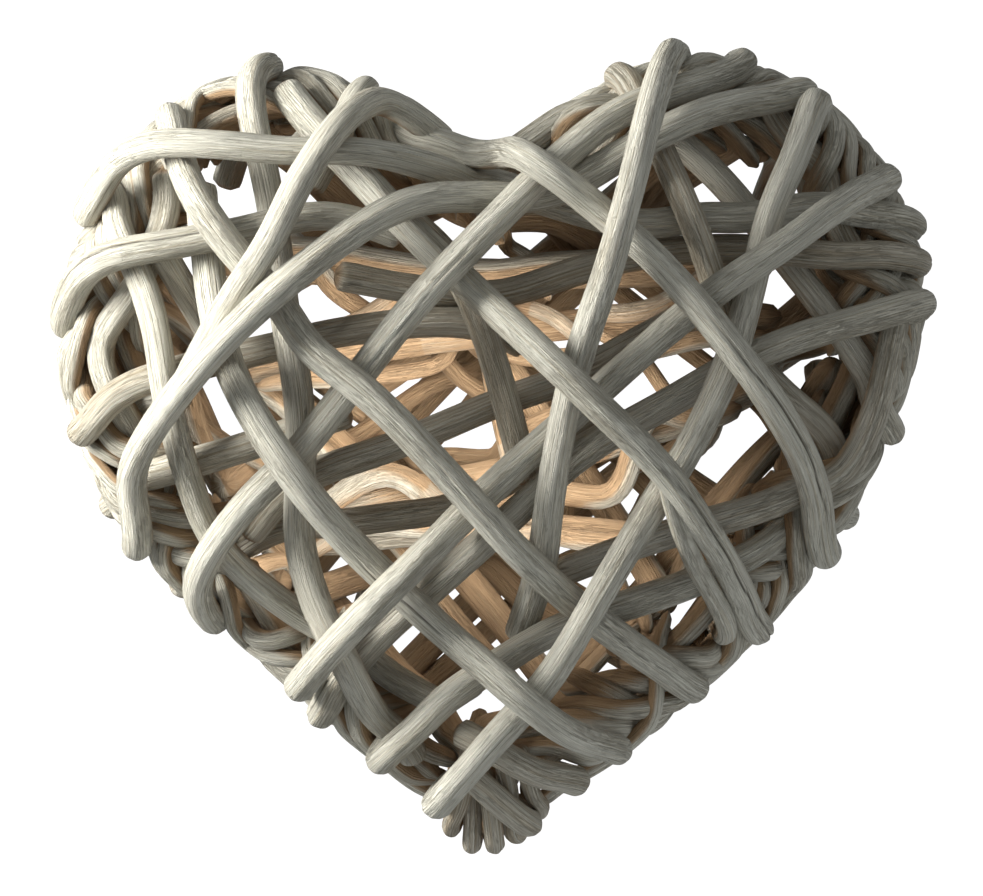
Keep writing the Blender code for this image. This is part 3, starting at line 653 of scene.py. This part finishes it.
# How thickly the limewash lies on the rods that aren't the outermost, 1 being thick
coats = {
    "upright_rod_3": 0.35, "upright_rod_4": 0.45, "level_rod_3": 0.4, "level_rod_4": 0.5,
    "level_rod_5": 0.5, "level_rod_6": 0.4, "level_rod_7": 0.45, "level_rod_8": 0.75,
    "right_rod_1": 0.75, "right_rod_2": 0.45, "right_rod_3": 0.6, "right_rod_4": 0.55,
    "left_rod_2": 0.8, "left_rod_3": 0.8, "left_rod_4": 0.8, "tip_rod_1": 0.5, "tip_rod_2": 0.5,
    "tip_strand": 0.3, "rim_rod": 0.5, "rim_shoots": 0.85, "back": 0.5,
}
coatVaries = 0.08                       # from rod to rod, at most


def coatOf(name):
    for start, coat in coats.items():
        if name.startswith(start):
            return coat
    return 1.0


def rodSurface(name, path, radius, detail, rng):
    # Grid of places on the rod's surface, with what the finish needs to know at each
    path = evenly(path, detail["step"])
    count = detail["around"]
    turn = np.arange(count) * 2 * math.pi / count
    steps = np.linalg.norm(np.diff(path, axis=0), axis=1)
    along = np.concatenate([[0], np.cumsum(steps)])
    length = along[-1]
    sides, others = movingFrame(path)
    out = outwardAt(path)
    outTurn = np.unwrap(np.arctan2((out * others).sum(1), (out * sides).sum(1)))

    height = np.zeros((len(path), count))
    tall, long = bark["fibres"]
    for high, size, often in bark["waves"] + [(tall, long, count // 2)]:
        height += high * unrolledNoise(rng, along, turn, size, often)

    # The split mask is painted shade for each groove, darker the deeper the groove cuts
    split = np.zeros_like(height)
    for start, end, aside, depth, width in splitsOf(name, length, rng):
        u = np.clip((along - start) / (end - start), 0, 1)
        fade = np.sqrt(np.sin(math.pi * u))
        wander = sum(wide * np.sin(along / size + phase)
                     for (wide, size), phase in zip(bark["splitWander"], (start, end)))
        middle = np.interp((start + end) / 2, along, outTurn)
        centre = middle + bark["splitFollows"] * (outTurn - middle) + aside + wander
        apart = (turn[None, :] - centre[:, None] + math.pi) % (2 * math.pi) - math.pi
        groove = fade[:, None] / (1 + (apart * radius / width) ** 2) ** 2
        height -= depth * groove
        split = np.maximum(split, groove * min(depth / bark["groovePaintedShadeDepth"], 1.0))

    reach = radius * detail["swell"] + height
    fromEnd = np.minimum(along, length - along) / (bark["endRound"] * radius)
    taper = np.sqrt(1 - (1 - np.clip(fromEnd, bark["endLeast"], 1)) ** 2)
    reach *= (bark["endWidth"] + (1 - bark["endWidth"]) * taper)[:, None]
    reach *= thinning(path, detail)[:, None]
    spoke = np.cos(turn)[None, :, None] * sides[:, None] + np.sin(turn)[None, :, None] * others[:, None]
    places = path[:, None] + spoke * reach[:, :, None]
    facing = (spoke * out[:, None]).sum(2)
    shift = rng.uniform(-bark["grainShift"], bark["grainShift"], 3)
    grain = np.stack([np.cos(turn)[None, :] * radius + 0 * along[:, None] + shift[0],
                      np.sin(turn)[None, :] * radius + 0 * along[:, None] + shift[1],
                      along[:, None] + 0 * turn[None, :] + shift[2]], axis=2)
    cut = np.repeat(1 - np.clip(fromEnd, 0, 1)[:, None], count, axis=1) * (detail["thin"] == 1)
    coat = np.full_like(facing, coatOf(name) + rng.uniform(-coatVaries, coatVaries))
    return {"path": path, "places": places,
            "values": {"facing": facing, "split": split, "grain": grain, "cut": cut, "coat": coat}}


# How a rod's unrolled surface lies on its square map: the margins beside a strip, and past a strip's ends
unrolling = {"beside": 0.04, "past": 0.02, "cap": 0.01}


def unrolledMap(rings, count, length, radius, cell, cells):
    # The rod is unrolled and folded into strips that lie side by side in one of cells x cells squares
    strips = max(1, round(math.sqrt(length / (2 * math.pi * radius))))
    rows = rings - 1
    perStrip = math.ceil(rows / strips)
    row = np.arange(rows)
    strip = row // perStrip
    low = unrolling["past"]
    tall = (1 - 2 * low) / perStrip
    wide = (1 - 2 * unrolling["beside"]) / count
    v = low + (row - strip * perStrip) * tall
    u = unrolling["beside"] + np.arange(count) * wide
    across = np.stack([u, u + wide, u + wide, u], axis=1)[None] + 0 * v[:, None, None]
    up = np.stack([v, v, v + tall, v + tall], axis=1)[:, None] + 0 * u[None, :, None]
    quads = np.stack([(across + strip[:, None, None]) / strips, up], axis=3).reshape(-1, 2)
    top = v[-1] + tall
    firstAcross = np.stack([u + wide, u, u + wide / 2], axis=1) / strips
    firstUp = np.broadcast_to((low, low, low - unrolling["cap"]), (count, 3))
    lastAcross = (np.stack([u, u + wide, u + wide / 2], axis=1) + strip[-1]) / strips
    lastUp = np.broadcast_to((top, top, top + unrolling["cap"]), (count, 3))
    first = np.stack([firstAcross, firstUp], axis=2).reshape(-1, 2)
    last = np.stack([lastAcross, lastUp], axis=2).reshape(-1, 2)
    return (np.concatenate([quads, first, last]) + (cell % cells, cell // cells)) / cells


def tubeFaces(rings, count, start):
    # Quads along the rod and a fan of triangles at each end, for vertices that count from start
    ring = np.arange(rings - 1)[:, None] * count + start
    here = np.arange(count)[None, :]
    after = (here + 1) % count
    quads = np.stack([ring + here, ring + after, ring + count + after, ring + count + here], axis=2)
    here, after = here[0] + start, after[0] + start
    firstTip, last = rings * count + start, (rings - 1) * count
    firstCap = np.stack([after, here, np.full(count, firstTip)], axis=1)
    lastCap = np.stack([last + here, last + after, np.full(count, firstTip + 1)], axis=1)
    return quads.reshape(-1, 4).tolist() + firstCap.tolist() + lastCap.tolist()


def buildPiece(name, surfaces, material):
    # One mesh of one rod, or of several thin ones that need no piece each
    cells = math.ceil(math.sqrt(len(surfaces)))
    verts, faces, maps = [], [], []
    values = {key: [] for key in surfaces[0]["values"]}
    start = 0
    for cell, surface in enumerate(surfaces):
        path, places = surface["path"], surface["places"]
        rings, count = places.shape[:2]
        verts += [places.reshape(-1, 3), path[:1], path[-1:]]
        faces += tubeFaces(rings, count, start)
        length = np.linalg.norm(np.diff(path, axis=0), axis=1).sum()
        girth = np.linalg.norm(places[rings // 2, 0] - path[rings // 2])
        maps.append(unrolledMap(rings, count, length, girth, cell, cells))
        for key, grid in surface["values"].items():
            ends = np.stack([grid[0].mean(0), grid[-1].mean(0)])
            values[key].append(np.concatenate([grid.reshape(rings * count, -1), ends.reshape(2, -1)]))
        start += rings * count + 2
    mesh = bpy.data.meshes.new(name)
    mesh.from_pydata((np.vstack(verts) * mm).tolist(), [], faces)
    for key, parts in values.items():
        flat = np.concatenate(parts).astype(np.float32)
        vector = flat.shape[1] == 3
        attribute = mesh.attributes.new(key, "FLOAT_VECTOR" if vector else "FLOAT", "POINT")
        attribute.data.foreach_set("vector" if vector else "value", flat.ravel())
    layer = mesh.uv_layers.new(name="OFBake")
    layer.data.foreach_set("uv", np.concatenate(maps).astype(np.float32).ravel())
    mesh.shade_smooth()
    mesh.materials.append(material)
    piece = bpy.data.objects.new(name, mesh)
    bpy.context.scene.collection.objects.link(piece)
    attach(piece, "root")
    return piece


class Wire:
    # One output of a shader node. Arithmetic on it adds Math nodes.
    def __init__(self, tree, socket=None):
        self.tree = tree
        self.socket = socket

    def node(self, kind, settings, inputs, output=0):
        made = self.tree.nodes.new(kind)
        for key, value in settings.items():
            setattr(made, key, value)
        for key, value in inputs.items():
            if isinstance(value, Wire):
                self.tree.links.new(value.socket, made.inputs[key])
            else:
                made.inputs[key].default_value = value
        return Wire(self.tree, made.outputs[output])

    def maths(self, operation, first, second):
        return self.node("ShaderNodeMath", {"operation": operation}, {0: first, 1: second})

    def __add__(self, other):
        return self.maths("ADD", self, other)

    def __radd__(self, other):
        return self.maths("ADD", other, self)

    def __sub__(self, other):
        return self.maths("SUBTRACT", self, other)

    def __rsub__(self, other):
        return self.maths("SUBTRACT", other, self)

    def __mul__(self, other):
        return self.maths("MULTIPLY", self, other)

    def __rmul__(self, other):
        return self.maths("MULTIPLY", other, self)

    def attribute(self, name, output="Fac"):
        return self.node("ShaderNodeAttribute", {"attribute_name": name}, {}, output)

    def between(self, low, high):
        # 0 under low, 1 over high, smooth between them
        return self.node("ShaderNodeMapRange", {"interpolation_type": "SMOOTHSTEP"},
                         {"Value": self, "From Min": low, "From Max": high})

    def scaled(self, x, y, z):
        return self.node("ShaderNodeVectorMath", {"operation": "MULTIPLY"}, {0: self, 1: (x, y, z)})

    def noise(self, x, y, z, detail=2.0, rough=0.5, distortion=0.0):
        return self.node("ShaderNodeTexNoise", {"noise_dimensions": "3D"},
                         {"Vector": self.scaled(x, y, z), "Scale": 1.0, "Detail": detail,
                          "Roughness": rough, "Distortion": distortion})

    def colour(self, under, over):
        # The colour under where this is 0, and over where it is 1. The node's colours are inputs 6 and 7.
        return self.node("ShaderNodeMix", {"data_type": "RGBA"}, {0: self, 6: under, 7: over}, 2)


def shade(red, green, blue):
    # A colour as a screen shows it, from 0 to 255, in the linear values that shaders take
    parts = []
    for part in (red, green, blue):
        part = part / 255
        parts.append(part / 12.92 if part <= 0.04045 else ((part + 0.055) / 1.055) ** 2.4)
    return (*parts, 1.0)


willowLook = {
    "limewash": shade(239, 236, 222),
    "thinWash": shade(212, 202, 178),
    "greyFibre": shade(138, 128, 106),
    "tanGrey": shade(172, 148, 114),
    "rawWood": shade(196, 164, 128),
    "rawDark": shade(162, 130, 96),
    # Colour of the painted shade in the grooves of splits
    "groovePaintedShade": shade(92, 84, 70),
    "cream": shade(232, 216, 186),
    "roughness": (0.52, 0.86),
    "specular": 0.35,
    "bump": 1.0,
    "bumpDistance": 0.001,
    # Grain: changes in each mm across (twice) and along the rod, detail, roughness and distortion
    "lines": (2.6, 2.6, 0.022, 3.0, 0.65),
    "hair": (6.0, 6.0, 0.05, 2.0, 0.6),
    "dashes": (4.2, 4.2, 0.32, 3.0, 0.7, 0.2),
    "patches": (0.16, 0.16, 0.035, 2.0, 0.5),
    "slow": (0.012, 0.012, 0.009, 1.0, 0.5),
}

# How the wear shows: a pair runs from none of it to all of it, and a share is the most that it covers
wear = {
    "middle": 0.5,                      # of every noise
    "edge": (-0.30, 0.25),              # from tan to limewash, round where the wash ends
    "edgeLines": 0.9,                   # how far the lines and the patches move that edge
    "edgePatches": 0.7,
    "ragged": 0.5,                      # how far dashes break up the rubbed places, and patches the specks
    "rubbed": (0.50, 0.72),
    "rubbedShare": 0.25,
    "streaks": (0.48, 0.68),
    "streaksShare": 0.7,
    "specks": (0.56, 0.68),
    "specksShare": 0.15,
    "greyHair": (0.5, 0.66),
    "greyShare": 0.45,
    "thin": (0.1, 0.9),
    "thinning": 0.55,                   # where the coat is thin, and how far the lines change that
    "thinLines": 1.6,
    "aged": (0.2, 0.8),
    "ageing": 0.6,                      # weight of the lines and of the slow change in how aged wood is
    "fresh": 0.2,
    "paleHair": (0.58, 0.72),
    "paleShare": 0.3,
    "cut": (0.2, 0.9),
    # Painted shade in the grooves of splits, from none to full
    "split": (0.25, 0.9),
    "openShare": 0.85,                  # of the bare wood at cut ends, and of the painted shade in splits
    "reliefLines": 1.4,                 # heights beside the hair's
    "reliefDashes": 0.4,
    "reliefSpecks": 0.9,
    "washSmooth": 0.5,                  # how much smoother the limewash is, and how much rougher its specks
    "specksRough": 0.3,
}


def makeWillow(name, washedTo):
    # washedTo says how far the limewash reaches round a rod: at -1 all round, at 0 on its outer half
    material = bpy.data.materials.new(name)
    material.use_nodes = True
    tree = material.node_tree
    shader = tree.nodes["Principled BSDF"]
    start = Wire(tree)
    grain = start.attribute("grain", "Vector")
    facing = start.attribute("facing")
    # split carries the painted shade for the grooves of splits
    split = start.attribute("split")
    cut = start.attribute("cut")
    coat = start.attribute("coat")

    lines = grain.noise(*willowLook["lines"])
    hair = grain.noise(*willowLook["hair"])
    dashes = grain.noise(*willowLook["dashes"])
    patches = grain.noise(*willowLook["patches"])
    slow = grain.noise(*willowLook["slow"])

    # Limewash lies thick on the outer side, thins in streaks and is missing inside
    middle = wear["middle"]
    reach = facing + (lines - middle) * wear["edgeLines"] + (patches - middle) * wear["edgePatches"]
    tan, white = wear["edge"]
    washed = reach.between(washedTo + tan, washedTo + white)
    rubbed = (patches + (dashes - middle) * wear["ragged"]).between(*wear["rubbed"])
    streaks = lines.between(*wear["streaks"])
    specks = (dashes + (patches - middle) * wear["ragged"]).between(*wear["specks"])
    worn = streaks * wear["streaksShare"] + rubbed * wear["rubbedShare"]
    wash = worn.colour(willowLook["limewash"], willowLook["thinWash"])
    thin = (wear["thinning"] + (lines - middle) * wear["thinLines"]).between(*wear["thin"])
    wash = ((1 - coat) * thin).colour(wash, willowLook["tanGrey"])
    grey = specks * wear["specksShare"] + hair.between(*wear["greyHair"]) * wear["greyShare"]
    wash = grey.colour(wash, willowLook["greyFibre"])

    # Bare wood is tan, darker where it has aged, with pale fibres
    aged = (lines * wear["ageing"] + slow * wear["ageing"] - wear["fresh"]).between(*wear["aged"])
    bare = aged.colour(willowLook["rawWood"], willowLook["rawDark"])
    bare = (hair.between(*wear["paleHair"]) * wear["paleShare"]).colour(bare, willowLook["cream"])
    colour = washed.colour(bare, wash)
    colour = (cut.between(*wear["cut"]) * wear["openShare"]).colour(colour, willowLook["rawWood"])
    # Painted shade darkens the grooves of the splits, the more the deeper they are
    colour = (split.between(*wear["split"]) * wear["openShare"]).colour(colour, willowLook["groovePaintedShade"])

    height = lines * wear["reliefLines"] + hair + dashes * wear["reliefDashes"]
    height = height - specks * wear["reliefSpecks"]
    bump = start.node("ShaderNodeBump", {}, {"Strength": willowLook["bump"],
                                             "Distance": willowLook["bumpDistance"], "Height": height})
    low, high = willowLook["roughness"]
    rough = low + (high - low) * (1 - washed * wear["washSmooth"] + specks * wear["specksRough"])
    for key, wire in (("Base Color", colour), ("Roughness", rough), ("Normal", bump)):
        tree.links.new(wire.socket, shader.inputs[key])
    shader.inputs["Specular IOR Level"].default_value = willowLook["specular"]
    return material


weaving = {
    "routeSeed": 5,
    "surfaceSeed": 100,
    "frontWash": -0.8,                  # the limewash reaches nearly all round the front rods
    "backWash": 0.1,                    # and covers the outer half of all others
}


def weave():
    rods = readRods()
    leaveRod(rods)
    rng = np.random.default_rng(weaving["routeSeed"])
    rods += twinPaths(rods, rng) + laidPaths(rods, rng)
    rods += shootPaths(rng)
    paths, left = press(rods)
    print("pressed", len(rods), "rods, watched points at most", round(float(left), 2), "mm too near")
    pieces = {}
    for k, (rod, path) in enumerate(zip(rods, paths)):
        name = rod["name"]
        own = np.random.default_rng(weaving["surfaceSeed"] + k)
        pieces.setdefault(name, []).append(rodSurface(name, path, rod["radius"], kindOf(name), own))
    washedOuter = makeWillow("whitewashed_willow_front", weaving["frontWash"])
    washedInner = makeWillow("whitewashed_willow_back", weaving["backWash"])
    triangles = []
    for name, surfaces in pieces.items():
        material = washedOuter if kindOf(name) in (front, merging) else washedInner
        piece = buildPiece(name + "_willow", surfaces, material)
        if name in frame["nodes"]:
            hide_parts(name)
        piece.data.calc_loop_triangles()
        triangles.append(len(piece.data.loop_triangles))
    print("built", len(pieces), "pieces of", sum(triangles), "triangles, at most", max(triangles), "in one")


# Floor, light and camera, in metres and watts
studio = {
    "floorSize": 6.0,
    "floor": shade(60, 60, 60),
    "floorLight": shade(255, 255, 255),
    "floorRoughness": 0.9,
    "floorGlow": 1.05,
    "target": (0.0, 0.0, 0.045),
    "keyPower": 3.6,
    "keySize": (0.22, 0.14),
    "keyPlace": (-0.36, 0.13, 0.15),
    "keyTint": (1.0, 0.985, 0.94),
    "fillPower": 0.9,
    "fillSize": (0.5, 0.5),
    "fillPlace": (0.35, -0.75, 0.4),
    "fillTint": (0.93, 0.97, 1.0),
    "innerPower": 0.065,
    "innerSize": (0.09, 0.07),
    "innerPlace": (-0.012, 0.0, 0.046),
    "innerTarget": (-0.012, 0.0, 0.0),
    "innerTint": (1.0, 0.97, 0.92),
    "air": 0.37,
    "airTint": (0.96, 0.99, 1.0, 1.0),
    "cameraPlace": (-0.0016, -0.0030, 5.0),
    "sensor": 36.0,                     # mm
    "viewWidth": 0.2204,                # at the view level
    "viewLevel": 0.042,
    "farthestSeen": 20.0,
}


def makeFloor():
    bpy.ops.mesh.primitive_plane_add(size=studio["floorSize"])
    floor = bpy.context.object
    floor.name = "floor"
    material = bpy.data.materials.new("pale_floor")
    material.use_nodes = True
    shader = material.node_tree.nodes["Principled BSDF"]
    shader.inputs["Base Color"].default_value = studio["floor"]
    shader.inputs["Roughness"].default_value = studio["floorRoughness"]
    shader.inputs["Emission Color"].default_value = studio["floorLight"]
    shader.inputs["Emission Strength"].default_value = studio["floorGlow"]
    floor.data.materials.append(material)
    floor.visible_diffuse = False       # the glow is for the eye alone, the rods are lit by the lamps
    floor.visible_glossy = False


def makeLight(name, target):
    light = bpy.data.lights.new(name, "AREA")
    light.energy = studio[name + "Power"]
    light.color = studio[name + "Tint"]
    light.shape = "RECTANGLE"
    light.size, light.size_y = studio[name + "Size"]
    lamp = bpy.data.objects.new(name, light)
    lamp.location = studio[name + "Place"]
    lamp.rotation_euler = (Vector(target) - lamp.location).to_track_quat("-Z", "Y").to_euler()
    bpy.context.scene.collection.objects.link(lamp)


def makeStudio():
    makeFloor()
    makeLight("key", studio["target"])
    makeLight("fill", studio["target"])
    makeLight("inner", studio["innerTarget"])
    world = bpy.data.worlds.new("air")
    world.use_nodes = True
    air = world.node_tree.nodes["Background"]
    air.inputs["Color"].default_value = studio["airTint"]
    air.inputs["Strength"].default_value = studio["air"]
    bpy.context.scene.world = world
    lens = bpy.data.cameras.new("camera")
    lens.sensor_width = studio["sensor"]
    away = studio["cameraPlace"][2] - studio["viewLevel"]
    lens.lens = lens.sensor_width * away / studio["viewWidth"]
    lens.clip_end = studio["farthestSeen"]
    camera = bpy.data.objects.new("camera", lens)
    camera.location = studio["cameraPlace"]
    bpy.context.scene.collection.objects.link(camera)
    bpy.context.scene.camera = camera
    bpy.context.scene.view_settings.view_transform = "Standard"
    print("studio ready")


weave()
makeStudio()
